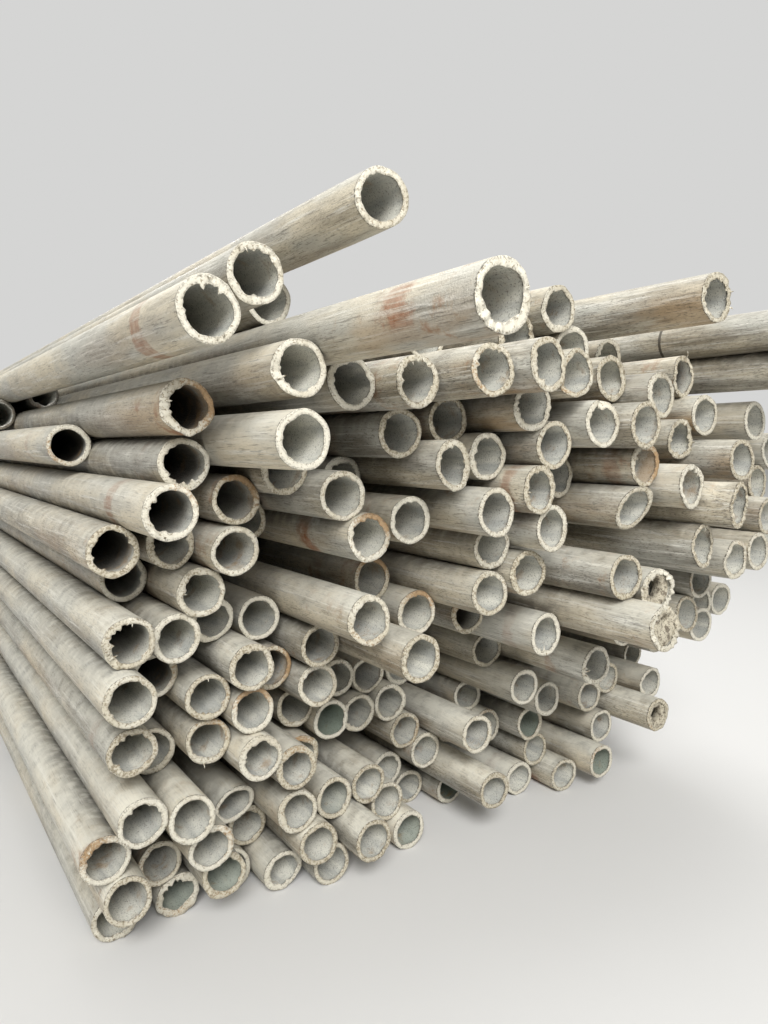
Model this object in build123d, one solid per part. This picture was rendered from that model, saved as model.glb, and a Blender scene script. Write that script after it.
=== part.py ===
from build123d import *
import math
import os

# Stack of steel tubes: plain round galvanised tubes, all of one section, laid parallel in a heap.
# Millimetres, +Z up. The tubes run along Y and their uneven sawn ends look toward -Y. The origin
# is on the floor, at the middle of the stack's outline.

TUBE_OD = 48.3
TUBE_WALL = 4.0
TUBE_LENGTH = 6000.0
# room left between neighbours, so that each tube stays a piece of its own
SEAT_GAP = 0.3
# how far a tube may roll sideways into the nearest hollow, and the step of that search
ROLL_REACH = 0.12 * TUBE_OD
ROLL_STEP = 0.01 * TUBE_OD
# how much a tube prefers its own place to a lower one
ROLL_STIFFNESS = 0.3
# end cut at a slant by a torch, measured from square
SLANT_CUT_ANGLE = 24.0

# Each layer lists its tubes in the order they are laid, as (place, back), both in tube widths:
# place is how far the tube lies from the left side, and back is how far its near end stands
# behind the foremost one. Those that stand exactly 10.1 back, or 12 and more, are not seen: they
# lie between and behind the others and hold them up.
LAYERS = {
    "layer_01": [
        (5.4, 7.9), (10.4, 9.6), (6.8, 9.4), (7.9, 8.2), (0.5, 8.6), (13.8, 8.3), (4.3, 8.3),
        (3.3, 9.0), (1.9, 8.7), (12.5, 8.9), (9.4, 10.3), (11.4, 10.9), (15.7, 10.1), (14.9, 7.7),
        (6.1, 7.1), (2.6, 7.7), (13.2, 8.9), (4.9, 7.5), (3.8, 9.2), (7.3, 8.4), (10.1, 7.2),
        (1.6, 8.6)],
    "layer_02": [
        (0.5, 7.4), (14.2, 10.7), (8.3, 10.0), (15.2, 8.2), (9.2, 9.2), (16.3, 10.1), (16.9, 9.0),
        (5.6, 8.0), (11.1, 12.0), (11.6, 9.5), (12.6, 8.7), (6.6, 8.2), (2.3, 7.3), (4.4, 7.6),
        (3.4, 8.7), (13.6, 11.0)],
    "layer_03": [
        (0.2, 7.5), (10.5, 9.8), (14.5, 8.1), (8.6, 9.2), (16.0, 6.7), (9.5, 7.5), (5.2, 8.8),
        (1.8, 7.0), (11.4, 9.9), (16.9, 7.6), (0.8, 7.0), (17.8, 10.1), (17.9, 9.1), (7.4, 12.0),
        (7.1, 9.2), (6.1, 8.9), (8.1, 9.2)],
    "layer_04": [
        (4.3, 7.3), (2.7, 12.0), (3.3, 7.2), (15.6, 8.2), (12.6, 7.9), (5.2, 9.1), (1.3, 8.6),
        (11.1, 7.3), (2.3, 7.8), (7.4, 9.4), (8.6, 9.8)],
    "layer_05": [
        (16.1, 12.0), (17.0, 7.6), (3.2, 7.4), (0.7, 7.2), (15.8, 7.7), (4.9, 7.6), (6.5, 9.3),
        (9.6, 10.1), (12.1, 10.1), (10.5, 8.3), (13.6, 12.0), (12.7, 10.1), (11.5, 5.3),
        (2.4, 7.6), (16.6, 5.7), (4.0, 8.1), (14.5, 10.1), (13.9, 10.1), (14.3, 7.5),
        (13.4, 10.1)],
    "layer_06": [
        (15.2, 5.3), (1.5, 8.3), (0.5, 6.5), (17.9, 10.1), (17.5, 6.3), (3.1, 7.1), (4.8, 7.3),
        (18.5, 6.4), (6.6, 10.1), (5.9, 4.9), (9.2, 10.1), (9.5, 5.1), (7.4, 10.1), (8.2, 6.4)],
    "layer_07": [
        (16.8, 6.4), (15.8, 5.2), (1.5, 7.2), (7.0, 6.5), (0.5, 6.9), (10.9, 10.1), (10.6, 2.5),
        (2.7, 8.1), (4.7, 5.1), (3.7, 8.1), (11.7, 10.1), (12.9, 10.1), (12.2, 7.5), (7.8, 4.9),
        (6.3, 7.3), (11.3, 3.3)],
    "layer_08": [
        (2.0, 7.1), (14.8, 10.1), (14.8, 3.6), (1.0, 9.0), (15.8, 3.6), (9.4, 10.1), (8.7, 4.7),
        (17.3, 10.1), (16.8, 4.8), (17.8, 4.6), (10.3, 3.4), (13.9, 10.1), (13.8, 4.9),
        (12.8, 3.2), (3.0, 10.1), (2.6, 6.6), (1.5, 7.5)],
    "layer_09": [
        (0.5, 7.4), (7.9, 5.0), (9.8, 10.1), (8.8, 4.1), (3.9, 10.1), (3.5, 8.2), (4.7, 5.3),
        (13.9, 3.9), (6.6, 10.1), (6.1, 5.5), (16.3, 3.6), (11.4, 10.1), (11.0, 3.7), (12.9, 2.4),
        (7.1, 4.2), (2.7, 6.7), (0.8, 5.6)],
    "layer_10": [
        (18.7, 10.1), (16.7, 4.3), (12.1, 3.0), (8.0, 3.9), (4.4, 5.4), (9.0, 10.1), (10.2, 5.3),
        (5.5, 7.3), (6.2, 4.5), (11.1, 3.6), (1.4, 6.6), (7.5, 4.7), (14.7, 10.1), (14.2, 3.1),
        (3.5, 6.2), (0.7, 11.9)],
    "layer_11": [
        (16.2, 10.1), (17.2, 4.2), (8.6, 3.9), (12.2, 6.3), (2.3, 3.5), (13.2, 4.2), (5.5, 5.2),
        (9.3, 3.4), (6.7, 5.2), (10.7, 3.2), (13.9, 4.1), (8.0, 3.9), (1.2, 5.8), (15.9, 3.9),
        (4.2, 10.1), (3.3, 12.0)],
    "layer_12": [
        (4.0, 4.8), (11.2, 3.4), (5.2, 4.1), (12.2, 6.0), (2.8, 4.1), (6.3, 3.2), (8.5, 3.4),
        (10.5, 4.0), (13.8, 4.6), (7.3, 2.8), (15.1, 10.1), (15.4, 2.2), (1.9, 21.5),
        (0.5, 21.5)],
    "layer_13": [
        (0.9, 3.3), (3.6, 0.0), (9.3, 4.3), (11.5, 10.1), (12.4, 5.9), (8.1, 4.5), (6.5, 5.8),
        (3.5, 7.0)],
    "layer_14": [
        (15.2, 1.5), (1.9, 4.1), (11.1, 1.9), (8.9, 4.1), (3.6, 3.0)],
}
# the tube whose near end is cut at a slant, by layer and number in it
SLANT_CUT = ("layer_09", 13)


def rest_height(across, laid):
    """Height of the axis of a tube lowered straight down at this place until it rests."""
    pitch = TUBE_OD + SEAT_GAP
    height = TUBE_OD / 2
    for x, z in laid:
        reach = abs(across - x)
        if reach < pitch:
            height = max(height, z + math.sqrt(pitch ** 2 - reach ** 2))
    return height


def seat(place, laid):
    """Lower a tube at its place, let it roll a little toward a hollow, return its axis (x, z)."""
    steps = round(ROLL_REACH / ROLL_STEP)
    spots = [place + k * ROLL_STEP for k in range(-steps, steps + 1)]
    heights = [rest_height(x, laid) for x in spots]
    effort = [z + ROLL_STIFFNESS * abs(x - place) for x, z in zip(spots, heights)]
    best = effort.index(min(effort))
    return spots[best], heights[best]


def lay_stack():
    """Seat every tube on those beneath it; returns the axis and near end of each, by layer."""
    laid = []
    stack = {}
    for name, tubes in LAYERS.items():
        stack[name] = []
        for place, back in tubes:
            x, z = seat(place * TUBE_OD, laid)
            laid.append((x, z))
            stack[name].append((x, z, back * TUBE_OD))
    return stack


def slant_tool(x, y, z):
    """Block that takes off the lower left of a near end, so that its cut leans back."""
    size = 4 * TUBE_OD
    block = Pos(0, -size / 2, 0) * Box(size, size, size)
    turned = Rot(0, 0, -SLANT_CUT_ANGLE) * block
    return Pos(x - TUBE_OD / 2, y, z) * turned


def tube(x, y, z, slanted):
    """One tube with its axis along +Y, from its near end at y."""
    ring = Circle(TUBE_OD / 2) - Circle(TUBE_OD / 2 - TUBE_WALL)
    body = Pos(x, y, z) * extrude(Plane.XZ * ring, amount=-TUBE_LENGTH)
    return body - slant_tool(x, y, z) if slanted else body


def build_layer(name, tubes, middle_x, middle_y):
    """All tubes of one layer, moved so that the stack's outline is centred on the origin."""
    solids = []
    for number, (x, z, near_end) in enumerate(tubes, start=1):
        slanted = (name, number) == SLANT_CUT
        solids += tube(x - middle_x, near_end - middle_y, z, slanted).solids()
    return Compound(children=solids, label=name)


def main():
    stack = lay_stack()
    axes = [axis for tubes in stack.values() for axis in tubes]
    middle_x = (min(a[0] for a in axes) + max(a[0] for a in axes)) / 2
    middle_y = (min(a[2] for a in axes) + max(a[2] for a in axes) + TUBE_LENGTH) / 2
    os.makedirs("parts", exist_ok=True)
    for name, tubes in stack.items():
        export_step(build_layer(name, tubes, middle_x, middle_y), f"parts/{name}.step")


main()
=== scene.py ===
"""Stack of weathered galvanised steel tubes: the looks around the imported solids.

Every tube is worked out again as one closed surface on a grid of (place along the profile,
angle round the axis), from the axis, radii and cut planes that the solids have. Its sawn end
gets the uneven cut, lumps, burrs and dents, and its material the streaks, dust, rust and
bright rim. Angles round a tube start at its right side and turn toward its top, in degrees.
"""

import math

import bpy
import numpy as np
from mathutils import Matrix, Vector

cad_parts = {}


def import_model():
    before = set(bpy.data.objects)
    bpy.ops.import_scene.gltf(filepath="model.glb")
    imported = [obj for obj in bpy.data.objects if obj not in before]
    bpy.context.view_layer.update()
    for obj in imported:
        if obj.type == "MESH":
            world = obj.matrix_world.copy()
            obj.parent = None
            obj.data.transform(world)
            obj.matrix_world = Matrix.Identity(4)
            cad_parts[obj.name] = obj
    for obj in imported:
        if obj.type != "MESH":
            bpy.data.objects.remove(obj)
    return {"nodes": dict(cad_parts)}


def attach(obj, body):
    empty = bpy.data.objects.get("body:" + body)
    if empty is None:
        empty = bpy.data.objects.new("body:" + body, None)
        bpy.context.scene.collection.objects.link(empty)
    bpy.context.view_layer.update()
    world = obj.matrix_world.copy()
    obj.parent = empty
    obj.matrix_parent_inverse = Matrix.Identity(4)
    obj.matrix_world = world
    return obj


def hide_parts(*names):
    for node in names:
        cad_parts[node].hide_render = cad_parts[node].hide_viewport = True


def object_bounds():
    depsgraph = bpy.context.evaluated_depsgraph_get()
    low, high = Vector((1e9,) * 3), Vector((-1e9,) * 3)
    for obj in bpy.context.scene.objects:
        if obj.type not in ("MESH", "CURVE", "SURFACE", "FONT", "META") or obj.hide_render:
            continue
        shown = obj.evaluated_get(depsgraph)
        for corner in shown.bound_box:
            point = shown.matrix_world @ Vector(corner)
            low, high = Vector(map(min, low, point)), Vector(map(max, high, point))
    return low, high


MM = 0.001
BODY = "root"

CHANCE_SEED = 7

# how finely a tube is drawn round its axis, by how far back its near end stands, in metres
FINENESS = ((0.16, 96), (0.34, 72), (0.48, 52), (99.0, 32))
# near ends that stand further back than this are out of sight deep in the stack, and their cuts
# get painted shade instead of a bright rim
RECESS_SHADE_BACK = 0.577

# the cut pushes the edge of the bore inward by this much
LIP = 0.6 * MM
# how far a tube's end is out of round, and how rough its sawn face is
OUT_OF_ROUND = 0.45 * MM
FACE_ROUGHNESS = 0.25 * MM
# a flattened end grows this much wider for what it loses in height
SQUASH_SPREAD = 0.18
# how much of its bright cut such a deep-set end loses to painted shade, and how softly a one-sided
# band ends
RECESS_SHADE_DULLING = 0.75
BAND_SOFTNESS = 0.25

# chances above which an end's edge and a body's band are rusty
RUSTY_EDGE = 0.84
RUSTY_BAND = 0.88

# Slivers: half the thickness and half the width at the root, in millimetres, and what each
# millimetre of length adds to that width. The root sits this deep behind the rim and inside the
# middle of the wall, the tip bends by up to so many radians, and rows and corners draw each.
SLIVER_THICKNESS = 0.35
SLIVER_WIDTH = 0.2
SLIVER_WIDENING = 0.14
SLIVER_ROOT = 0.6 * MM
SLIVER_INSET = 0.2 * MM
SLIVER_BEND = 1.6
SLIVER_ROWS = 7
SLIVER_CORNERS = 6

# Dirt in a choked end: how far it reaches into the wall, how far back from the end its front
# ends, how uneven that is across and along the tube, and how finely it is drawn round the axis
CHOKE_BITE = 0.3 * MM
CHOKE_FRONT = 0.005
CHOKE_ACROSS = 0.8 * MM
CHOKE_ALONG = 0.9 * MM
CHOKE_SEGMENTS = 40

# points of a solid that fall in one cell of this grid are one, in cells to a metre
MERGE_GRID = 1e5

# How far from the end each unevenness reaches, in metres. It fades as exp(-distance / reach).
SQUASH_REACH = 0.05
ROUND_REACH = 0.04
LUMP_REACH = 0.004
BURR_REACH = 0.002
SWELL_REACH = 0.0014
RAGGED_REACH = 0.012
TILT_REACH = 0.3
CUT_REACH = 0.5

# Dirt and painted shade in the nooks: how many neighbours count, how wide it lies round the
# direction to each, in radians, the gap at which it ends, in tube widths, and how it starts along
# a neighbour, in metres
NOOK_NEIGHBOURS = 8
NOOK_WIDTH = 0.7
NOOK_GAP = 0.7
NOOK_START = 0.03

# camera: where it stands from the left side, the foremost end and the floor, and its lens
CAMERA_LEFT = 0.144
CAMERA_BEFORE = 0.3623
CAMERA_HEIGHT = 0.5096
CAMERA_YAW = 33.8
CAMERA_PITCH = -5.0
CAMERA_LENS = 27.04
SENSOR_HEIGHT = 36.0
CAMERA_CLIP = 0.01

# Colours of the outside, the marks on it, the sawn rims and the bores
BEIGE = (0.60, 0.535, 0.405, 1)
BLUISH = (0.46, 0.45, 0.395, 1)
PALE = (0.73, 0.71, 0.64, 1)
SHADE = (0.135, 0.112, 0.078, 1)
STAIN = (0.34, 0.205, 0.085, 1)
SCRATCH = (0.060, 0.052, 0.040, 1)
RUST = (0.25, 0.098, 0.038, 1)
RUST_BRIGHT = (0.29, 0.185, 0.09, 1)
RUST_PINK = (0.34, 0.165, 0.092, 1)
GREENISH = (0.27, 0.32, 0.26, 1)
# dark dirt; also the colour of the painted shade in the nooks, deep in the bores and along the
# rims' edges
DIRT_AND_SHADE = (0.045, 0.037, 0.027, 1)
DUST = (0.74, 0.715, 0.615, 1)
CUT_EDGE = (0.55, 0.52, 0.43, 1)
CUT_EDGE_WORN = (0.45, 0.41, 0.315, 1)
CUT_EDGE_DARK = (0.20, 0.16, 0.10, 1)
BORE_PALE = (0.73, 0.715, 0.63, 1)
BORE_GREY = (0.43, 0.435, 0.405, 1)
MUD_PALE = (0.42, 0.38, 0.29, 1)
MUD_DARK = (0.15, 0.125, 0.09, 1)
SKY_COLOR = (0.95, 0.95, 0.94, 1)
FLOOR_COLOR = (0.62, 0.615, 0.60, 1)

# light of the sky, and how much more of it the camera and reflections see
SKY_STRENGTH = 0.50
SKY_SHOWN = 0.20
# how far the floor reaches to each side, in metres
FLOOR_REACH = 40.0

# Scales of the noise patterns, in cells to a metre
TONE_SCALE = 17.0
STAIN_SCALE = 11.0
STREAK_SCALE = 300.0
SPECK_SCALE = 650.0
BORE_SPECK_SCALE = 700.0
SMUDGE_SCALE = 26.0
DASH_SCALE = 1100.0
RUST_SCALE = 38.0
FLAKE_SCALE = 150.0
DUST_SCALE = 60.0
NOOK_SCALE = 70.0
GRIME_SCALE = 45.0
CHIP_SCALE = 420.0
WORN_SCALE = 38.0
NICK_AND_SHADOW_SCALE = 520.0
GRAIN_SCALE = 650.0
MUD_SCALE = 160.0
MUD_GRAIN_SCALE = 500.0
TORN_SCALE = 300.0

# How much each layer of the looks covers what is under it, 1 being all of it
SHADE_COVER = 0.75
PALE_COVER = 0.75
DASH_COVER = 0.55
SCRATCH_COVER = 0.45
SPECK_COVER = 0.5
RUST_COVER = 0.8
RING_COVER = 0.9
NOOK_COVER = 0.8
GRIME_COVER = 0.45
BORE_SPECK_COVER = 0.55
BORE_RUST_COVER = 0.6
CHIP_COVER = 0.85
TARNISH_COVER = 0.95
NICK_AND_SHADOW_COVER = 0.9
MUD_SPECK_COVER = 0.8

# Ends that the photo shows unlike the rest, by layer and number from the left. Lumps, burr,
# ragged and notch are in millimetres, and so are the place and width of a band round the body.
# Turns are in degrees, tilt is a slope, squash the share by which an end is flattened, and
# band_side keeps a band to the side of band_turn. The rest are amounts: tone makes the body and
# rim cleaner, deep the bore darker, green its coating greener.
SPECIAL_ENDS = {
    (1, 1): {"burr": 3.0, "burr_turn": 300, "ragged": 2.0},
    (1, 3): {"burr": 4.6, "burr_turn": 80, "lumps": 5.0, "ragged": 1.6, "edge_rust": 0.5,
             "edge_turn": 260, "green": 0.6},
    (1, 4): {"burr": 3.4, "burr_turn": 80, "lumps": 2.6, "edge_rust": 0.35, "edge_turn": 280,
             "green": 0.6},
    (1, 7): {"lumps": 3.0, "squash": 0.12, "squash_turn": 120},
    (1, 11): {"burr": 3.4, "burr_turn": 170},
    (1, 13): {"green": 0.6},
    (1, 16): {"green": 0.9},
    (1, 17): {"burr": 4.6, "ragged": 4.0, "edge_rust": 1.0, "edge_turn": 90, "deep": 0.9},
    (1, 20): {"band": 50, "band_width": 20, "band_rust": 0.9, "band_turn": 250,
              "band_side": 0.5},
    (1, 21): {"green": 0.8, "tone": 0.7},
    (2, 1): {"edge_rust": 0.05},
    (2, 3): {"lumps": 2.0, "squash": 0.24, "squash_turn": 115},
    (2, 4): {"burr": 2.6, "burr_turn": 190, "lumps": 2.6},
    (2, 5): {"lumps": 2.2, "green": 0.3},
    (2, 7): {"lumps": 2.4},
    (2, 11): {"green": 0.8},
    (2, 13): {"burr": 4.0, "squash": 0.2, "squash_turn": 60, "ragged": 4.0},
    (3, 1): {"burr": 2.4, "burr_turn": 140, "lumps": 2.2, "lump_turn": 140, "edge_rust": 0.8,
             "edge_turn": 130},
    (3, 2): {"edge_rust": 0.05},
    (3, 3): {"edge_rust": 0.05},
    (3, 4): {"lumps": 2.6, "edge_rust": 0.9, "edge_turn": 120},
    (3, 5): {"green": 0.9},
    (4, 1): {"edge_rust": 0.05},
    (4, 2): {"edge_rust": 0.6, "edge_turn": 60, "tone": 0.35},
    (4, 4): {"burr": 3.4, "burr_turn": 110, "lumps": 2.2},
    (4, 5): {"lumps": 3.4, "edge_rust": 0.5, "edge_turn": 90},
    (5, 1): {"burr": 2.8, "burr_turn": 100, "lumps": 2.0, "lump_turn": 250, "edge_rust": 0.05},
    (5, 2): {"edge_rust": 0.4, "edge_turn": 10},
    (5, 3): {"lumps": 1.4, "edge_rust": 1.0, "edge_turn": 90},
    (5, 4): {"edge_rust": 0.9, "edge_turn": 0, "tone": 0.2, "deep": 0.8},
    (5, 9): {"burr": 3.2, "burr_turn": 200, "band": 60, "band_rust": 0.4},
    (6, 1): {"burr": 1.6, "burr_turn": 180, "lumps": 1.0},
    (6, 2): {"edge_rust": 0.5, "edge_turn": 0, "deep": 0.8},
    (6, 3): {"burr": 2.2, "burr_turn": 100, "lumps": 2.4, "lump_turn": 100},
    (6, 8): {"burr": 4.2, "burr_turn": 90, "lumps": 2.0, "edge_rust": 0.9, "edge_turn": 100,
             "deep": 0.9},
    (6, 10): {"burr": 2.6, "burr_turn": 260, "band": 42, "band_rust": 0.3},
    (7, 1): {"burr": 4.2, "burr_turn": 145, "lumps": 2.0, "lump_turn": 200, "deep": 0.5},
    (7, 2): {"burr": 2.4, "burr_turn": 330},
    (7, 3): {"burr": 3.2, "burr_turn": 110, "lumps": 2.4, "lump_turn": 200},
    (7, 5): {"burr": 1.2, "lumps": 2.6, "lump_turn": 150},
    (7, 6): {"burr_turn": 80, "edge_rust": 1.0, "edge_turn": 80, "rust": 0.6, "tone": 0.3},
    (7, 7): {"burr": 2.0, "burr_turn": 90, "edge_rust": 0.9, "edge_turn": 75},
    (7, 8): {"burr": 2.2, "burr_turn": 60, "notch": 3, "notch_turn": 50},
    (7, 9): {"lumps": 3.0, "ragged": 3.2},
    (7, 11): {"burr": 3.4, "lumps": 3.4, "ragged": 4.0},
    (8, 1): {"burr": 2.6, "burr_turn": 10, "deep": 0.6},
    (8, 2): {"burr": 3.0, "burr_turn": 150, "lumps": 2.4, "lump_turn": 160},
    (8, 3): {"burr": 3.4, "burr_turn": 110, "lumps": 1.8, "lump_turn": 180},
    (8, 4): {"lumps": 1.0, "tone": 0.55},
    (8, 6): {"burr": 2.0, "burr_turn": 130, "lumps": 2.4, "lump_turn": 190},
    (8, 9): {"burr": 3.0, "squash": 0.22, "squash_turn": 0, "ragged": 2.0},
    (8, 11): {"squash": 0.24, "squash_turn": 20, "ragged": 1.8},
    (9, 1): {"burr": 3.0, "burr_turn": 160, "lumps": 1.6, "deep": 0.8},
    (9, 2): {"burr": 3.6, "burr_turn": 235, "lumps": 1.6, "lump_turn": 200, "band": 110,
             "band_width": 14, "band_rust": 0.75, "tone": 0.8, "deep": 0.7},
    (9, 3): {"edge_rust": 0.9, "edge_turn": 60, "rust": 0.5, "tone": 0.15, "deep": 0.5},
    (9, 4): {"tone": 0.15},
    (9, 6): {"burr": 3.2, "burr_turn": 120, "ragged": 2.2, "edge_rust": 1.0, "edge_turn": 65,
             "band": 88, "band_width": 15, "band_rust": 0.95, "tone": 0.6},
    (9, 11): {"burr": 1.2, "lumps": 2.0, "lump_turn": 10, "tone": 0.5},
    (9, 13): {"burr": 1.6, "lumps": 1.4, "tilt": 0.45, "tilt_turn": 255, "tone": 0.4},
    (9, 15): {"lumps": 2.0, "squash": 0.34, "squash_turn": 0, "ragged": 2.6},
    (10, 1): {"edge_rust": 0.6, "edge_turn": 215, "tone": 0.7, "deep": 1.0},
    (10, 2): {"burr": 3.2, "burr_turn": 230, "lumps": 1.6, "lump_turn": 230, "tone": 0.7,
              "deep": 0.8},
    (10, 3): {"edge_rust": 0.4, "edge_turn": 90, "tone": 0.3},
    (10, 4): {"lumps": 0.8, "tone": 0.5},
    (10, 6): {"burr": 3.0, "burr_turn": 30, "lumps": 3.0, "lump_turn": 20, "squash": 0.16,
              "squash_turn": 15},
    (10, 8): {"burr": 3.4, "burr_turn": 180, "lumps": 2.2, "squash": 0.08, "squash_turn": 0,
              "band": 27, "band_width": 9, "band_rust": 0.75},
    (10, 11): {"edge_rust": 0.95, "edge_turn": 0, "band": 30, "band_rust": 0.5, "rust": 0.6},
    (10, 12): {"burr": 2.6, "burr_turn": 80, "ragged": 1.6, "notch": 4, "notch_turn": 60},
    (10, 13): {"edge_rust": 0.05},
    (10, 15): {"edge_rust": 0.05},
    (11, 1): {"burr": 2.6, "burr_turn": 170, "lumps": 3.6, "lump_turn": 168, "edge_rust": 0.95,
              "edge_turn": 20, "rust": 0.75, "stain": 1.6, "tone": 0.55, "deep": 0.9},
    (11, 2): {"burr": 1.2, "lumps": 1.2, "edge_rust": 0.05, "tone": 0.95},
    (11, 5): {"burr": 2.0, "tone": 0.2},
    (11, 6): {"burr": 2.2, "edge_rust": 0.3, "edge_turn": 90, "tone": 0.15},
    (11, 7): {"burr": 3.2, "burr_turn": 180, "lumps": 2.0, "ragged": 2.2},
    (11, 8): {"burr": 1.5, "lumps": 1.0},
    (11, 9): {"burr_turn": 85, "lumps": 1.4, "notch": 7, "notch_turn": 85},
    (11, 12): {"burr": 3.0, "burr_turn": 0, "lumps": 2.4, "lump_turn": 0, "ragged": 3.0},
    (12, 3): {"burr": 2.4, "burr_turn": 190, "lumps": 2.0, "lump_turn": 190, "notch": 4,
              "notch_turn": 190, "tone": 0.7},
    (12, 4): {"burr": 2.4, "burr_turn": 95, "tone": 0.75},
    (12, 5): {"burr": 2.6, "burr_turn": 70, "ragged": 1.8, "tone": 0.4},
    (12, 6): {"burr": 3.4, "burr_turn": 90, "ragged": 1.6, "tone": 0.3},
    (12, 7): {"burr": 3.0, "lumps": 2.0, "lump_turn": 180, "squash": 0.10, "squash_turn": 20},
    (12, 8): {"notch": 5, "notch_turn": 225, "edge_rust": 0.5, "edge_turn": 225},
    (12, 9): {"lumps": 3.0, "lump_turn": 10},
    (12, 10): {"burr": 2.5, "burr_turn": 180, "lumps": 2.4, "lump_turn": 180, "squash": 0.08,
               "squash_turn": 0},
    (12, 12): {"burr": 2.8, "burr_turn": 85, "squash": 0.26, "squash_turn": 5, "ragged": 1.6,
               "deep": 1.0},
    (13, 1): {"burr": 3.4, "burr_turn": 85, "lumps": 1.6, "lump_turn": 80, "band": 100,
              "band_width": 15, "band_rust": 0.85, "tone": 0.75},
    (13, 2): {"burr": 0.8, "lumps": 3.4, "ragged": 2.0, "band": 86, "band_width": 18,
              "band_rust": 1.0, "band_turn": 165, "band_side": 0.62, "tone": 0.75},
    (13, 5): {"burr": 2.0, "ragged": 2.4},
    (14, 1): {"burr": 2.2, "burr_turn": 50, "lumps": 1.8, "tone": 0.6},
    (14, 2): {"burr": 2.0, "burr_turn": 40, "lumps": 1.2, "tone": 0.55},
    (14, 3): {"lumps": 2.4, "lump_turn": 235, "tone": 0.5},
    (14, 4): {"burr": 2.6, "burr_turn": 60, "lumps": 2.6, "ragged": 2.2, "tone": 0.35},
    (14, 5): {"band": 215, "band_width": 2.4, "band_dark": 1.0, "tone": 0.5},
}

# Torn slivers of steel at the ends: layer, number from the left, turn round the rim, length in
# millimetres, and how they stand: 0 points inward across the bore, 90 straight out of the end.
SLIVERS = (
    (13, 1, 300, 7, 60), (13, 1, 285, 5, 80), (14, 1, 130, 9, 110), (14, 1, 118, 7, 95),
    (13, 2, 260, 4, 70), (12, 3, 205, 8, 10), (12, 3, 95, 5, 20), (12, 5, 75, 6, 30),
    (12, 4, 250, 5, 15), (11, 7, 60, 7, 20), (11, 7, 100, 6, 5), (10, 2, 215, 9, 5),
    (10, 2, 240, 6, 20), (9, 2, 255, 6, 15), (11, 1, 165, 11, 8), (11, 1, 185, 8, 12),
    (10, 8, 185, 9, 15), (10, 12, 80, 13, 100), (10, 12, 60, 10, 80), (10, 12, 110, 8, 110),
    (6, 10, 250, 11, 60), (7, 8, 50, 8, 85), (5, 9, 190, 9, 90), (5, 9, 205, 8, 60),
    (5, 9, 180, 6, 110), (12, 10, 200, 9, 5), (9, 11, 10, 6, 10), (4, 2, 255, 7, 100),
    (5, 2, 90, 6, 20), (7, 1, 80, 7, 10), (6, 3, 105, 8, 15), (14, 4, 340, 6, 95),
    (14, 4, 20, 5, 100), (12, 12, 85, 10, 95), (8, 9, 90, 7, 80), (7, 11, 30, 6, 70),
    (1, 3, 60, 8, 5), (1, 3, 95, 7, 8), (1, 4, 80, 6, 10), (3, 1, 140, 8, 10),
    (1, 10, 120, 6, 10), (1, 17, 100, 9, 40), (2, 13, 60, 8, 60), (2, 13, 140, 7, 80),
    (6, 8, 80, 9, 10), (6, 8, 110, 8, 5), (7, 1, 195, 12, 20), (7, 1, 215, 9, 10),
    (8, 3, 180, 8, 10), (8, 2, 150, 8, 5), (11, 1, 205, 9, 5), (13, 2, 20, 6, 100),
    (9, 1, 160, 9, 15), (8, 1, 20, 8, 60), (13, 1, 90, 7, 110), (12, 5, 110, 7, 15),
    (11, 12, 350, 8, 70), (10, 6, 20, 11, 40),
)

# Ends that are choked with dirt: layer, number from the left, radius of the hole that is left,
# and where its middle lies across and up, in millimetres.
CHOKED = ((7, 9, 4, 3, 9), (7, 11, 12, -1, 2), (3, 14, 11, 0, 0), (2, 13, 5, -4, 2))


# columns of the table of tubes that read_tubes makes
COLUMNS = X, Z, CUT, SLOPE_X, SLOPE_Z, END, OUTER, BORE = range(8)


def noise_round(rng, count, angles, waves, power):
    """Uneven line round a tube: a sum of cosines of the angle, wave k having the height
    1 / k ** power and a phase of its own for each tube; returns (tube, angle), about -1 to 1."""
    k = np.arange(waves[0], waves[1] + 1)
    height = rng.normal(0, 1, (count, len(k))) / k ** power
    phase = rng.uniform(0, 2 * math.pi, (count, len(k)))
    height /= np.sqrt((height ** 2).sum(1, keepdims=True)) + 1e-9
    return (height[:, :, None] * np.cos(k[None, :, None] * angles + phase[:, :, None])).sum(1)


def loose_shells(mesh):
    """Points of a mesh with doubles merged, and the number of the loose piece of each: labels
    spread along the triangles' edges, the smaller one winning, until none changes."""
    co = np.empty(len(mesh.vertices) * 3, np.float32)
    mesh.vertices.foreach_get("co", co)
    tri = np.empty(len(mesh.polygons) * 3, np.int32)
    mesh.polygons.foreach_get("vertices", tri)
    key = np.round(co.reshape(-1, 3) * MERGE_GRID).astype(np.int64)
    points, index = np.unique(key, axis=0, return_inverse=True)
    index = index.reshape(-1)
    edge = index[tri.reshape(-1, 3)][:, [0, 1, 1, 2]].reshape(-1, 2)
    label = np.arange(len(points))
    while True:
        low = np.minimum(label[edge[:, 0]], label[edge[:, 1]])
        new = label.copy()
        np.minimum.at(new, edge[:, 0], low)
        np.minimum.at(new, edge[:, 1], low)
        if (new == label).all():
            return points / MERGE_GRID, label
        label = new


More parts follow.
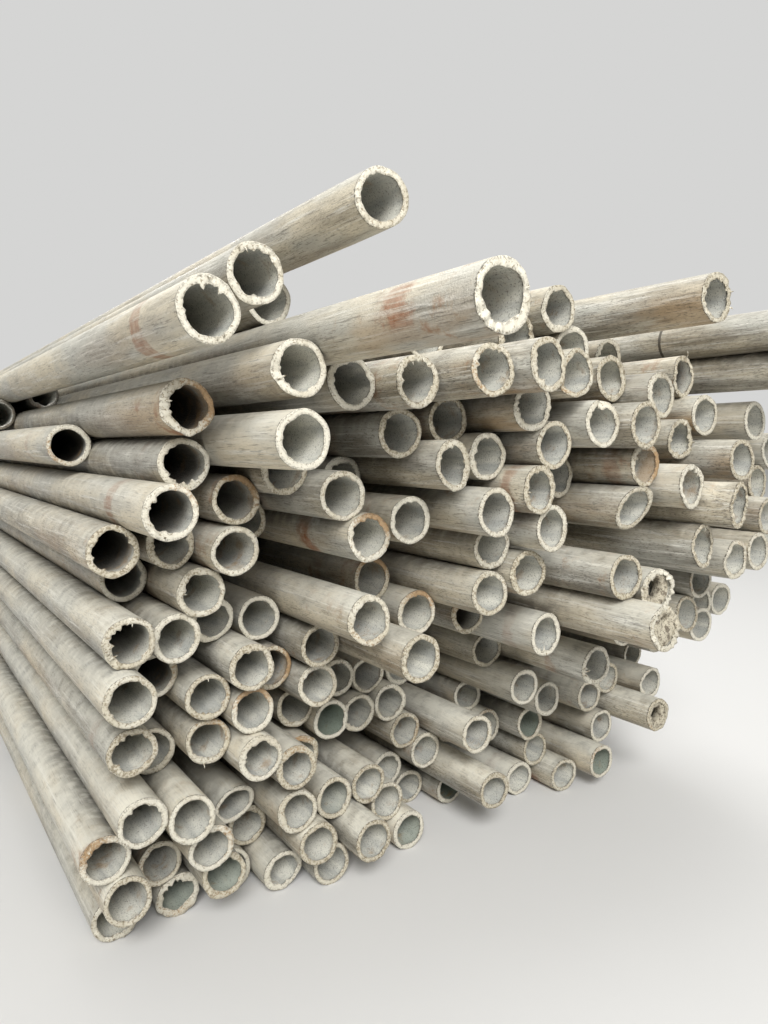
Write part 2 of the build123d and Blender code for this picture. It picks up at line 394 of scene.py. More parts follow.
def read_tubes(node_object):
    """Axis, cut, far end and radii of each tube in a node, from the left, as rows of (x, z, y
    of the near cut on the axis, its slope along x and along z, far y, outer radius, radius of
    the bore). The near cut is the plane that fits the points of the near end best."""
    points, label = loose_shells(node_object.data)
    rows = []
    for name in np.unique(label):
        p = points[label == name]
        middle = (p[:, 1].min() + p[:, 1].max()) / 2
        near, far = p[p[:, 1] < middle], p[p[:, 1] >= middle]
        x, z = far[:, 0].mean(), far[:, 2].mean()
        apart = np.hypot(far[:, 0] - x, far[:, 2] - z)
        plane = np.c_[np.ones(len(near)), near[:, 0] - x, near[:, 2] - z]
        cut = np.linalg.lstsq(plane, near[:, 1], rcond=None)[0]
        rows.append((x, z, cut[0], cut[1], cut[2], far[:, 1].max(), apart.max(), apart.min()))
    rows = np.array(rows)
    return rows[np.argsort(rows[:, X])]


def end_looks(layer, tubes, back, floor_to_top, rng):
    """Values of each tube's end and weathering: chance ones first, then the special ends'."""
    count = len(tubes)
    chance = rng.uniform(0, 1, (8, count))
    # the heap is paler toward its lower left
    pale = np.clip(1.25 - tubes[:, Z] / floor_to_top - 0.6 * (tubes[:, X] + 0.25), 0, 1)
    looks = {
        "squash": chance[0] * 0.04, "squash_turn": rng.uniform(0, 180, count),
        "burr": 0.9 + 2.4 * chance[1] ** 2, "lumps": 0.6 + 1.6 * chance[2],
        "lump_turn": rng.uniform(0, 360, count), "burr_turn": rng.uniform(0, 360, count),
        "green": np.zeros(count), "stain": rng.uniform(0, 0.8, count),
        "recessed_shade": (back > RECESS_SHADE_BACK).astype(float), "ragged": 0.4 + 1.3 * chance[3] ** 2,
        "notch": np.zeros(count), "notch_turn": np.zeros(count),
        "tilt": 0.07 * chance[4], "tilt_turn": rng.uniform(0, 360, count),
        "edge_rust": np.where(chance[5] > RUSTY_EDGE, chance[5] - 0.4, 0.05),
        "edge_turn": rng.uniform(0, 360, count),
        "band": 20 + 160 * rng.uniform(0, 1, count), "band_width": np.full(count, 11.0),
        "band_rust": np.where(chance[6] > RUSTY_BAND, 0.3, 0.0), "band_dark": np.zeros(count),
        "band_turn": np.zeros(count), "band_side": np.full(count, -1.0),
        "rust": chance[7] ** 4 * 0.7, "tone": rng.uniform(0.1, 0.9, count),
        "deep": 0.25 * rng.uniform(0, 1, count), "pale": pale,
    }
    for (special_layer, number), values in SPECIAL_ENDS.items():
        if special_layer == layer:
            for key, value in values.items():
                looks[key][number - 1] = value
    return looks


def profile():
    """Rings of a tube's closed outline: outside from the near rim to the far end, then back
    through the bore and over the near face. Columns: side (1 outside, 0 bore), distance from
    the ring's own end, written in millimetres and returned in metres, that end (0 near, 1 far)
    and how much of the ring is sawn face."""
    outside = ((0.3, 0.95), (1.1, 0.5), (2.6, 0.0), (6, 0), (12, 0), (25, 0), (60, 0), (150, 0),
               (400, 0), (1200, 0), (2950, 0))
    rows = [(1, d, 0, m) for d, m in outside]
    rows += [(1, d, 1, m) for d, m in ((2950, 0), (400, 0), (30, 0), (4, 0), (0.4, 0.9))]
    rows += [(0.7, 0, 1, 1), (0.3, 0, 1, 1)]
    rows += [(0, d, 1, m) for d, m in ((0.6, 0.9), (5, 0), (60, 0), (900, 0), (2950, 0))]
    rows += [(0, d, 0, m) for d, m in ((1800, 0), (400, 0), (120, 0), (50, 0), (22, 0), (10, 0),
                                       (5, 0), (2.6, 0.1), (1.2, 0.5), (0.4, 0.95))]
    rows += [(s, d, 0, m) for s, d, m in ((0.12, 0.05, 0.8), (0.37, -0.1, 1), (0.63, -0.1, 1),
                                          (0.88, 0.05, 0.8))]
    rings = np.array(rows, float)
    rings[:, 1] *= MM
    return rings


def bump_at(angle, turn, width):
    """Bell of the given width in radians round a turn in degrees, the same for every lap."""
    apart = angle - np.radians(turn)
    return np.exp((np.cos(apart) - 1) / width ** 2)


def tube_points(tubes, looks, segments, rng):
    """Points of each tube, as (tube, ring, angle). The ring's radius runs from bore to outside
    by its side value; squash, dents, lumps and burrs add to it and fade with the distance from
    the end. Along the tube, the near cut's plane, its tilt, waves and notch shift the rim."""
    rings = profile()
    count = len(tubes)
    angle = np.linspace(0, 2 * math.pi, segments, endpoint=False)
    side, along, is_far, mask = (rings[None, :, None, k] for k in range(4))
    x, z, cut, slope_x, slope_z, end, outer, bore = (tubes[:, None, None, k] for k in COLUMNS)
    look = {key: value[:, None, None] for key, value in looks.items()}

    def waves(first, last, power):
        return noise_round(rng, count, angle, (first, last), power)[:, None, :]

    # flattened and a little out of round near the end
    radius = bore + side * (outer - bore)
    short = 1 - look["squash"] * np.exp(-along / SQUASH_REACH)
    long = 1 + SQUASH_SPREAD * (1 - short)
    turned = angle - np.radians(look["squash_turn"])
    radius = radius * short * long / np.hypot(long * np.cos(turned), short * np.sin(turned))
    radius = radius + OUT_OF_ROUND * waves(2, 6, 1.0) * np.exp(-along / ROUND_REACH)
    # lumps hang into the bore all round, and burrs only where the edge is torn
    lumps = look["lumps"] * MM * (0.25 + 0.4 * np.maximum(waves(2, 8, 0.7), -0.4)
                                  + 0.9 * bump_at(angle, look["lump_turn"], 0.7))
    lumps = lumps + LIP
    torn = waves(2, 5, 0.3) * 0.6 + 1.3 * bump_at(angle, look["burr_turn"], 0.75)
    torn = np.clip((torn - 0.35) / 0.5, 0, 1)
    spikes = look["burr"] * MM * (torn * (0.35 + 0.65 * np.maximum(waves(5, 24, 0.6), -0.5))
                                  + 0.08 * np.maximum(waves(10, 22, 0.0), 0))
    radius = radius - (1 - side) * (lumps * np.exp(-along / LUMP_REACH)
                                    + spikes * np.exp(-along / BURR_REACH))
    # the outer edge swells a little
    swell = 0.28 * look["lumps"] * MM * np.maximum(waves(3, 10, 0.5), -0.3)
    swell = swell + 0.07 * look["burr"] * MM * np.maximum(waves(10, 22, 0.0), 0)
    radius = radius + side * swell * np.exp(-along / SWELL_REACH)

    # uneven, notched and leaning cut; the far end has the same one, a third of a turn round
    rough = look["ragged"] * MM * (0.7 * waves(1, 5, 1.2) + 0.3 * mask * waves(8, 22, 0.2))
    rough = rough + FACE_ROUGHNESS * mask * np.sin(math.pi * side) * waves(5, 20, 0.0)
    notch = look["notch"] * MM * bump_at(angle, look["notch_turn"], 0.22)
    tilt = look["tilt"] * radius * np.cos(angle - np.radians(look["tilt_turn"]))
    shift = (rough + notch) * np.exp(-along / RAGGED_REACH) + tilt * np.exp(-along / TILT_REACH)
    cos, sin = np.cos(angle), np.sin(angle)
    leaning = (slope_x * cos + slope_z * sin) * radius * np.exp(-along / CUT_REACH)
    near_y = cut + leaning + along
    y = np.where(is_far > 0, end - along - np.roll(shift, segments // 3, 2), near_y + shift)
    points = np.stack(np.broadcast_arrays(x + radius * cos, y, z + radius * sin), -1)
    return points, rings, angle


def grid_faces(count, rings, segments):
    """Four-cornered faces of closed grids: both the rings and the angles wrap round."""
    t, r, a = np.meshgrid(np.arange(count), np.arange(rings), np.arange(segments), indexing="ij")
    r2, a2 = (r + 1) % rings, (a + 1) % segments
    base = t * rings * segments
    quads = [base + r * segments + a, base + r2 * segments + a,
             base + r2 * segments + a2, base + r * segments + a2]
    return np.stack(quads, -1).reshape(-1, 4)


def mesh_object(name, points, quads, values, material):
    """Mesh from an array of points and one of quads, smooth, with a float attribute for each
    entry of values; the object sits at the origin."""
    mesh = bpy.data.meshes.new(name)
    mesh.vertices.add(len(points))
    mesh.vertices.foreach_set("co", points.astype(np.float32).ravel())
    mesh.loops.add(quads.size)
    mesh.loops.foreach_set("vertex_index", quads.astype(np.int32).ravel())
    mesh.polygons.add(len(quads))
    mesh.polygons.foreach_set("loop_start", np.arange(0, quads.size, 4, dtype=np.int32))
    mesh.polygons.foreach_set("use_smooth", np.ones(len(quads), bool))
    for key, value in values.items():
        data = mesh.attributes.new(key, "FLOAT", "POINT").data
        data.foreach_set("value", value.astype(np.float32).ravel())
    mesh.update()
    mesh.validate()
    mesh.materials.append(material)
    thing = bpy.data.objects.new(name, mesh)
    bpy.context.scene.collection.objects.link(thing)
    return thing


def nook_shade_and_dirt(tubes, every, y, angle):
    """Dirt and painted shade where neighbours meet, as (tube, ring, angle): the strongest of the
    bells round the directions of the nearest tubes. Each fades with the gap to that tube, and
    reaches only as far along as that tube does."""
    across, up = every[:, X] - tubes[:, [X]], every[:, Z] - tubes[:, [Z]]
    apart = np.hypot(across, up)
    near = np.argsort(apart, 1)[:, 1:1 + NOOK_NEIGHBOURS]
    turn = np.take_along_axis(np.arctan2(up, across), near, 1)[:, :, None, None]
    gap = (np.take_along_axis(apart, near, 1) / (2 * tubes[:, [OUTER]]) - 1)[:, :, None, None]
    start, end = every[near, CUT][:, :, None, None], every[near, END][:, :, None, None]
    bell = np.exp((np.cos(angle - turn) - 1) / NOOK_WIDTH ** 2)
    beside = np.clip((y[:, None, :, None] - start) / NOOK_START, 0, 1)
    beside = beside * np.clip((end - y[:, None, :, None]) / NOOK_START, 0, 1)
    return (bell * beside * np.clip(1 - gap / NOOK_GAP, 0, 1)).max(1)


def tube_surface(tubes, looks, every, segments, rng):
    """Points, quads and attribute values of tubes that are drawn equally finely."""
    points, rings, angle = tube_points(tubes, looks, segments, rng)
    shape = points.shape[:3]
    along, is_near = rings[None, :, 1, None], rings[None, :, 2, None] < 0.5
    look = {key: value[:, None, None] for key, value in looks.items()}
    edge = look["edge_rust"] * bump_at(angle, look["edge_turn"], 1.0) * is_near
    band_side = np.cos(angle - np.radians(look["band_turn"])) - look["band_side"]
    band_side = np.where(look["band_side"] > -1, np.clip(band_side / BAND_SOFTNESS, 0, 1), 1)
    values = {
        # deep-set ends get painted shade on their cuts: most of the bright rim gives way to the
        # body's colour
        "sawn": rings[None, :, 3, None] * (1 - RECESS_SHADE_DULLING * look["recessed_shade"]),
        "green": look["green"], "stain": look["stain"], "inside": 1 - rings[None, :, 0, None],
        "from_end": np.maximum(along, 0), "edge_rust": edge,
        "band_apart": (along * 1000 - look["band"]) / look["band_width"],
        "band_rust": look["band_rust"] * band_side * is_near, "band_dark": look["band_dark"],
        "rust": look["rust"], "tone": look["tone"], "deep": look["deep"], "pale": look["pale"],
        "nook_dirt_shade": nook_shade_and_dirt(tubes, every, points[..., 1].mean(2), angle),
    }
    spread = {key: np.broadcast_to(value, shape).reshape(-1) for key, value in values.items()}
    return points.reshape(-1, 3), grid_faces(*shape), spread


def join(parts):
    """One set of points, quads and values from several."""
    starts = np.cumsum([0] + [len(p[0]) for p in parts[:-1]])
    points = np.concatenate([p[0] for p in parts])
    quads = np.concatenate([p[1] + start for p, start in zip(parts, starts)])
    values = {key: np.concatenate([p[2][key] for p in parts]) for key in parts[0][2]}
    return points, quads, values


def dress_layer(layer, tubes, every, foremost, floor_to_top, rng):
    """All tubes of one layer as one surface, each drawn as finely as it can be seen."""
    back = tubes[:, CUT] - foremost
    looks = end_looks(layer, tubes, back, floor_to_top, rng)
    limits = np.array([limit for limit, _ in FINENESS])
    grade = np.searchsorted(limits, back)
    parts = []
    for k in np.unique(grade):
        pick = grade == k
        chosen = {key: value[pick] for key, value in looks.items()}
        parts.append(tube_surface(tubes[pick], chosen, every, FINENESS[k][1], rng))
    return join(parts)


def sliver_surface(tubes_by_layer, rng):
    """Thin torn slivers. Each is a grid of (row along it, corner of its flat section), with the
    root sunk in the wall. Its middle line leaves the root at the lean and turns evenly on its
    way, and its width falls with t ** 1.5, nearly to a point at the tip."""
    rows, corners = SLIVER_ROWS, SLIVER_CORNERS
    spec = np.array(SLIVERS, float)
    tube = np.array([tubes_by_layer[int(s[0])][int(s[1]) - 1] for s in spec])
    t = np.linspace(0, 1, rows)[None, :, None]
    turn = np.radians(spec[:, 2])[:, None, None]
    length = (spec[:, 3] * MM)[:, None, None]
    lean = np.radians(spec[:, 4])[:, None, None]
    bend = rng.uniform(-SLIVER_BEND, SLIVER_BEND, len(spec))[:, None, None]
    middle = (tube[:, OUTER] + tube[:, BORE])[:, None, None] / 2
    way = lean + bend * t
    inward = length * t * np.cos(way) + SLIVER_INSET
    outward = length * t * np.sin(way) - SLIVER_ROOT
    k = 2 * math.pi * np.arange(corners)[None, None, :] / corners
    width = (SLIVER_WIDTH + SLIVER_WIDENING * length / MM) * MM * (1 - 0.96 * t ** 1.5)
    thick = SLIVER_THICKNESS * MM * (1 - 0.9 * t ** 1.5)
    radius = middle - inward + thick * np.sin(k) * np.sin(way)
    across = width * np.cos(k)
    x = tube[:, X][:, None, None] + radius * np.cos(turn) - across * np.sin(turn)
    z = tube[:, Z][:, None, None] + radius * np.sin(turn) + across * np.cos(turn)
    y = tube[:, CUT][:, None, None] - outward + thick * np.sin(k) * np.cos(way)
    points = np.stack(np.broadcast_arrays(x, y, z), -1).reshape(-1, 3)
    n, r, c = np.meshgrid(np.arange(len(spec)), np.arange(rows - 1), np.arange(corners),
                          indexing="ij")
    base, c2 = n * rows * corners, (c + 1) % corners
    quads = np.stack([base + r * corners + c, base + r * corners + c2,
                      base + (r + 1) * corners + c2, base + (r + 1) * corners + c], -1)
    return points, quads.reshape(-1, 4)


def choke_surface(tube, hole, across, up, rng):
    """Dirt that chokes an end: a ring of it between the bore and an off-centre hole, closed on
    itself; its rings run over the rough front, through the hole and back along the bore."""
    x, z, near, bore = tube[[X, Z, CUT, BORE]]
    angle = np.linspace(0, 2 * math.pi, CHOKE_SEGMENTS, endpoint=False)[None, :]
    share = np.array([1.0, 0.85, 0.65, 0.45, 0.25, 0.08, 0.0, 0.0, 0.5, 1.0])[:, None]
    depth = np.array([2.5, 2.0, 1.6, 1.8, 2.4, 3.6, 6.0, 16.0, 18.0, 16.0])[:, None] * MM
    middle_x, middle_z = (1 - share) * across * MM, (1 - share) * up * MM
    radius = hole * MM + share * (bore + CHOKE_BITE - hole * MM)
    front = noise_round(rng, len(share), angle[0], (2, 14), 0.4) * (depth < CHOKE_FRONT)
    radius = radius + CHOKE_ACROSS * front * (1 - share)
    y = near + depth + CHOKE_ALONG * front * np.sin(math.pi * share)
    points = np.stack([x + middle_x + radius * np.cos(angle), y + 0 * angle,
                       z + middle_z + radius * np.sin(angle)], -1)
    return points.reshape(-1, 3), grid_faces(1, len(share), CHOKE_SEGMENTS)[:, ::-1], {}


class Nodes:
    """Short way to add shader nodes to a tree and join them."""

    def __init__(self, tree):
        self.tree = tree
        tree.nodes.clear()

    def put(self, socket, value):
        """Link an output to an input socket, or set the socket's own value."""
        if isinstance(value, bpy.types.NodeSocket):
            self.tree.links.new(value, socket)
        else:
            socket.default_value = value

    def add(self, kind, inputs=None, **settings):
        """New node with these settings, its inputs given by name or number."""
        node = self.tree.nodes.new(kind)
        for key, value in settings.items():
            setattr(node, key, value)
        for key, value in (inputs or {}).items():
            self.put(node.inputs[key], value)
        return node

    def math(self, operation, a, b=0.0, clamp=False):
        """One step of arithmetic on two values."""
        node = self.add("ShaderNodeMath", {0: a, 1: b}, operation=operation, use_clamp=clamp)
        return node.outputs[0]

    def times(self, *values):
        """Product of all the values."""
        product = values[0]
        for value in values[1:]:
            product = self.math("MULTIPLY", product, value)
        return product

    def between(self, value, low, high, to_low=0.0, to_high=1.0):
        """Smooth step from to_low, where the value is low, to to_high, where it is high."""
        node = self.add("ShaderNodeMapRange", {"Value": value, "From Min": low, "From Max": high,
                                               "To Min": to_low, "To Max": to_high},
                        interpolation_type="SMOOTHSTEP")
        return node.outputs[0]

    def mix(self, factor, a, b):
        """Colour a, covered with b by the factor."""
        return self.add("ShaderNodeMix", {0: factor, 6: a, 7: b}, data_type="RGBA").outputs[2]

    def place(self):
        """Object coordinates. The objects sit at the origin, so they are metres from there."""
        return self.add("ShaderNodeTexCoord").outputs["Object"]

    def scaled(self, vector, way):
        """Vector multiplied by another, axis by axis."""
        node = self.add("ShaderNodeVectorMath", {0: vector, 1: way}, operation="MULTIPLY")
        return node.outputs[0]

    def facing_up(self):
        """How far the surface looks up: 1 on top, -1 on the underside."""
        normal = self.add("ShaderNodeNewGeometry").outputs["Normal"]
        return self.add("ShaderNodeSeparateXYZ", {0: normal}).outputs[2]

    def attribute(self, name):
        """Value that the mesh holds at its points under this name."""
        return self.add("ShaderNodeAttribute", attribute_name=name).outputs["Fac"]

    def noise(self, vector, scale, detail=3.0, roughness=0.55):
        """Noise of about 0.2 to 0.8, of so many cells to a metre."""
        node = self.add("ShaderNodeTexNoise", {"Vector": vector, "Scale": scale,
                                               "Detail": detail, "Roughness": roughness})
        return node.outputs["Fac"]

    def use(self, group, inputs):
        """Place a shared node group with its own values."""
        return self.add("ShaderNodeGroup", inputs, node_tree=group).outputs

    def surface(self, inputs):
        """Principled shader with these inputs, as the material's surface."""
        shader = self.add("ShaderNodeBsdfPrincipled", inputs)
        self.add("ShaderNodeOutputMaterial", {"Surface": shader.outputs[0]})


def new_material(name):
    """Material with an empty tree; returns it and the helper for its nodes."""
    material = bpy.data.materials.new(name)
    material.use_nodes = True
    return material, Nodes(material.node_tree)


def new_group(name, inputs, outputs):
    """Shader node group with named sockets; returns its helper, inputs and output node."""
    tree = bpy.data.node_groups.new(name, "ShaderNodeTree")
    kinds = {"value": "NodeSocketFloat", "vector": "NodeSocketVector"}
    for label, kind, start in inputs:
        socket = tree.interface.new_socket(label, in_out="INPUT", socket_type=kinds[kind])
        if start is not None:
            socket.default_value = start
    for label in outputs:
        tree.interface.new_socket(label, in_out="OUTPUT", socket_type="NodeSocketFloat")
    nodes = Nodes(tree)
    return nodes, nodes.add("NodeGroupInput").outputs, nodes.add("NodeGroupOutput")


def streaks_group():
    """Drawing and weather streaks that run along a tube: noise on coordinates that are squeezed
    along Y, at two widths, and thin dark scratches where the finest one peaks."""
    nodes, given, out = new_group("streaks along a tube", [
        ("Coordinate", "vector", None), ("Fineness", "value", STREAK_SCALE),
        ("Stretch", "value", 0.03)], ["Broad", "Fine", "Scratch"])

    def squeezed(share):
        way = nodes.add("ShaderNodeCombineXYZ", {0: 1.0, 1: nodes.times(given["Stretch"], share),
                                                 2: 1.0}).outputs[0]
        return nodes.scaled(given["Coordinate"], way)

    broad = nodes.noise(squeezed(5.0), nodes.times(given["Fineness"], 0.2), 4, 0.6)
    fine = nodes.noise(squeezed(1.0), given["Fineness"], 4, 0.65)
    thin = nodes.noise(squeezed(1.6), nodes.times(given["Fineness"], 2.8), 2, 0.5)
    nodes.put(out.inputs["Broad"], broad)
    nodes.put(out.inputs["Fine"], fine)
    nodes.put(out.inputs["Scratch"], nodes.between(thin, 0.585, 0.66))
    return nodes.tree


def patches_group():
    """Blotches of stain, and small specks: thresholds on plain noise."""
    nodes, given, out = new_group("blotches and specks", [
        ("Coordinate", "vector", None), ("Scale", "value", STAIN_SCALE), ("Amount", "value", 0.5),
        ("Speck Scale", "value", SPECK_SCALE)], ["Blotch", "Speck"])
    coarse = nodes.noise(given["Coordinate"], given["Scale"], 4, 0.62)
    low = nodes.math("SUBTRACT", 0.78, nodes.times(given["Amount"], 0.42))
    blotch = nodes.between(coarse, low, nodes.math("ADD", low, 0.14))
    speckle = nodes.noise(given["Coordinate"], given["Speck Scale"], 2, 0.5)
    nodes.put(out.inputs["Blotch"], blotch)
    nodes.put(out.inputs["Speck"], nodes.between(speckle, 0.575, 0.65))
    return nodes.tree


def dust_group():
    """Dust that lies on faces that look up, broken by noise."""
    nodes, given, out = new_group("dust on top", [
        ("Coordinate", "vector", None), ("Amount", "value", 0.5)], ["Mask"])
    broken = nodes.noise(given["Coordinate"], DUST_SCALE, 3)
    broken = nodes.between(broken, 0.3, 0.6, 0.35, 1.0)
    nodes.put(out.inputs["Mask"], nodes.times(nodes.between(nodes.facing_up(), -0.3, 0.95),
                                              broken, given["Amount"]))
    return nodes.tree


def body_color(nodes, place, streak, groups):
    """Zinc of the outside: beige and bluish reaches, shaded and pale streaks, stain on the
    underside, then clusters of fine dark marks, lengthwise scratches and specks."""
    drawn = nodes.scaled(place, (1.0, 0.3, 1.0))
    tone, pale = nodes.attribute("tone"), nodes.attribute("pale")
    reach = nodes.noise(drawn, TONE_SCALE, 3, 0.5)
    color = nodes.mix(nodes.between(reach, 0.41, 0.60), BEIGE, BLUISH)
    shade = nodes.math("ADD", nodes.times(tone, 0.26), nodes.times(streak["Broad"], 0.95))
    shade = nodes.math("ADD", shade, nodes.times(pale, 0.08))
    color = nodes.mix(nodes.between(shade, 0.76, 0.38, 0.0, SHADE_COVER), color, SHADE)
    color = nodes.mix(nodes.between(streak["Fine"], 0.50, 0.70, 0.0, PALE_COVER), color, PALE)
    patch = nodes.use(groups["patches"], {"Coordinate": drawn, "Scale": STAIN_SCALE,
                                          "Amount": 0.68, "Speck Scale": SPECK_SCALE})
    stain = nodes.attribute("stain")
    soaked = nodes.times(nodes.math("SUBTRACT", stain, 0.8),
                         nodes.between(nodes.attribute("from_end"), 0.35, 0.05))
    under = nodes.times(nodes.between(nodes.facing_up(), 0.75, -0.5, 0.15, 1.0),
                        nodes.math("MAXIMUM", patch["Blotch"], soaked),
                        nodes.math("ADD", 0.25, stain, clamp=True),
                        nodes.math("SUBTRACT", 0.95, nodes.times(pale, 0.6)))
    color = nodes.mix(under, color, STAIN)
    smudge = nodes.between(nodes.noise(place, SMUDGE_SCALE, 4, 0.6), 0.43, 0.58)
    dashes = nodes.noise(nodes.scaled(place, (1.0, 0.14, 1.0)), DASH_SCALE, 3, 0.6)
    dashes = nodes.between(dashes, 0.53, 0.60)
    marked = nodes.math("SUBTRACT", 1.15, tone)
    color = nodes.mix(nodes.times(smudge, dashes, marked, DASH_COVER), color, SCRATCH)
    color = nodes.mix(nodes.times(streak["Scratch"], SCRATCH_COVER), color, SCRATCH)
    return nodes.mix(nodes.times(patch["Speck"], marked, SPECK_COVER), color, SCRATCH)


def rust_masks(nodes, place):
    """Where a tube is rusty: soft patches, more near the end, and bands round the body."""
    rust, from_end = nodes.attribute("rust"), nodes.attribute("from_end")
    edge = nodes.times(nodes.attribute("edge_rust"), nodes.between(from_end, 0.05, 0.0))
    amount = nodes.math("ADD", nodes.times(rust, nodes.between(from_end, 0.25, 0.0, 0.25, 1.0)),
                        edge)
    soft = nodes.noise(place, RUST_SCALE, 5, 0.68)
    low = nodes.math("SUBTRACT", 0.66, nodes.times(amount, 0.26))
    patch = nodes.between(soft, low, nodes.math("ADD", low, 0.22))
    apart = nodes.math("ABSOLUTE", nodes.attribute("band_apart"))
    apart = nodes.math("ADD", apart, nodes.times(nodes.math("SUBTRACT", soft, 0.5), 4.2))
    band = nodes.times(nodes.between(apart, 1.2, 0.5), nodes.between(soft, 0.3, 0.6, 0.55, 1.0))
    return nodes.times(patch, nodes.math("MINIMUM", nodes.times(amount, 2.5), 1.0)), band


def tube_material(groups):
    """Weathered galvanised tube: streaked zinc, stains, rust near the ends, dust on top, a
    bright sawn rim and a smoother, paler bore."""
    material, nodes = new_material("weathered_galvanised_tube")
    place = nodes.place()
    sawn, inside = nodes.attribute("sawn"), nodes.attribute("inside")
    streak = nodes.use(groups["streaks"], {"Coordinate": place, "Fineness": STREAK_SCALE})
    color = body_color(nodes, place, streak, groups)
    rusty, band = rust_masks(nodes, place)
    outside = nodes.between(inside, 0.6, 0.4)
    color = nodes.mix(nodes.times(rusty, RUST_COVER), color, nodes.mix(rusty, STAIN, RUST))
    flake = nodes.between(nodes.noise(place, FLAKE_SCALE, 3, 0.6), 0.42, 0.58)
    worn_off = nodes.between(streak["Fine"], 0.64, 0.46, 0.35, 1.0)
    color = nodes.mix(nodes.times(band, nodes.attribute("band_rust"), outside, worn_off), color,
                      nodes.mix(flake, RUST, RUST_PINK))
    ring = nodes.math("ABSOLUTE", nodes.attribute("band_apart"))
    dark_ring = nodes.times(nodes.between(ring, 1.1, 0.6),
                            nodes.attribute("band_dark"), outside)
    color = nodes.mix(nodes.times(dark_ring, RING_COVER), color, DIRT_AND_SHADE)
    amount = nodes.math("ADD", 0.16, nodes.times(nodes.attribute("pale"), 0.62))
    dust = nodes.use(groups["dust"], {"Coordinate": place, "Amount": amount})["Mask"]
    color = nodes.mix(dust, color, DUST)
    # dirt and painted shade in the nooks where neighbours touch, broken up by noise
    nook_breakup = nodes.between(nodes.noise(place, NOOK_SCALE, 2), 0.3, 0.6, 0.55, 1.0)
    color = nodes.mix(nodes.times(nodes.attribute("nook_dirt_shade"), nook_breakup, NOOK_COVER), color, DIRT_AND_SHADE)

    bore = nodes.mix(nodes.between(streak["Broad"], 0.35, 0.7), BORE_PALE, BORE_GREY)
    # painted shade: the bore gets darker further inside, and more so in tubes given deep
    depth = nodes.between(nodes.attribute("from_end"), 0.0, 0.22)
    darker = nodes.math("ADD", nodes.times(depth, 0.30), nodes.times(
        nodes.attribute("deep"), nodes.between(nodes.attribute("from_end"), 0.0, 0.03)))
    bore = nodes.mix(nodes.attribute("green"), bore, GREENISH)
    bore = nodes.mix(nodes.math("MINIMUM", darker, 0.93), bore, DIRT_AND_SHADE)
    grime = nodes.use(groups["patches"], {"Coordinate": place, "Scale": GRIME_SCALE,
                                          "Amount": 0.5, "Speck Scale": BORE_SPECK_SCALE})
    bore = nodes.mix(nodes.times(grime["Blotch"], GRIME_COVER), bore, STAIN)
    bore = nodes.mix(nodes.times(grime["Speck"], BORE_SPECK_COVER), bore, SCRATCH)
    bore = nodes.mix(nodes.times(rusty, BORE_RUST_COVER), bore, STAIN)
    color = nodes.mix(nodes.between(inside, 0.6, 0.95), color, bore)

    chip = nodes.noise(place, CHIP_SCALE, 5, 0.65)
    chipped = nodes.math("ADD", 0.47, nodes.times(nodes.attribute("tone"), 0.13))
    worn = nodes.math("ADD", nodes.attribute("tone"), nodes.times(chip, 0.5))
    worn = nodes.math("ADD", worn, nodes.times(nodes.noise(place, WORN_SCALE, 2), 1.6))
    cut = nodes.mix(nodes.between(worn, 1.25, 1.8), CUT_EDGE_WORN, CUT_EDGE)
    gone = nodes.between(nodes.math("SUBTRACT", chip, chipped), 0.0, 0.08, 0.0, CHIP_COVER)
    cut = nodes.mix(gone, cut, CUT_EDGE_DARK)
    tarnish = nodes.math("ADD", nodes.attribute("edge_rust"), nodes.times(chip, 1.6))
    cut = nodes.mix(nodes.between(tarnish, 1.1, 1.65, 0.0, TARNISH_COVER), cut, RUST_BRIGHT)
    color = nodes.mix(nodes.between(sawn, 0.15, 0.75), color, cut)
    # a dark broken line along the rim's edges: nicks and dirt, with a painted shadow line under
    # the burr
    verge = nodes.times(sawn, nodes.math("SUBTRACT", 1.0, sawn), 4.0)
    nick_and_shadow = nodes.between(nodes.noise(place, NICK_AND_SHADOW_SCALE, 4, 0.65), 0.46, 0.56)
    color = nodes.mix(nodes.times(verge, nick_and_shadow, NICK_AND_SHADOW_COVER), color, DIRT_AND_SHADE)

    grain = nodes.math("ADD", nodes.noise(place, GRAIN_SCALE, 2), nodes.times(chip, sawn, 0.6))
    bump = nodes.add("ShaderNodeBump", {"Height": grain, "Strength": 0.6, "Distance": 0.0009})
    rough = nodes.between(streak["Broad"], 0.3, 0.7, 0.45, 0.62)
    rough = nodes.math("ADD", rough, nodes.times(dust, 0.3), clamp=True)
    nodes.surface({"Base Color": color, "Roughness": rough, "Metallic": 0.08,
                   "Specular IOR Level": 0.4, "Normal": bump.outputs[0]})
    return material


def dirt_material(groups):
    """Dried mud and lime that chokes some ends."""
    material, nodes = new_material("caked_dirt")
    place = nodes.place()
    patch = nodes.use(groups["patches"], {"Coordinate": place, "Scale": MUD_SCALE,
                                          "Amount": 0.7, "Speck Scale": BORE_SPECK_SCALE})
    color = nodes.mix(patch["Blotch"], MUD_PALE, MUD_DARK)
    color = nodes.mix(nodes.times(patch["Speck"], MUD_SPECK_COVER), color, DIRT_AND_SHADE)
    bump = nodes.add("ShaderNodeBump", {"Height": nodes.noise(place, MUD_GRAIN_SCALE, 4),
                                        "Strength": 0.8, "Distance": 0.0015})
    nodes.surface({"Base Color": color, "Roughness": 0.9, "Normal": bump.outputs[0]})
    return material


def burr_material():
    """Bare torn steel of the slivers, dull and pale like the sawn rims."""
    material, nodes = new_material("torn_burr")
    place = nodes.place()
    color = nodes.mix(nodes.between(nodes.noise(place, TORN_SCALE), 0.45, 0.65), CUT_EDGE,
                      CUT_EDGE_DARK)
    nodes.surface({"Base Color": color, "Roughness": 0.6, "Metallic": 0.1})
    return material


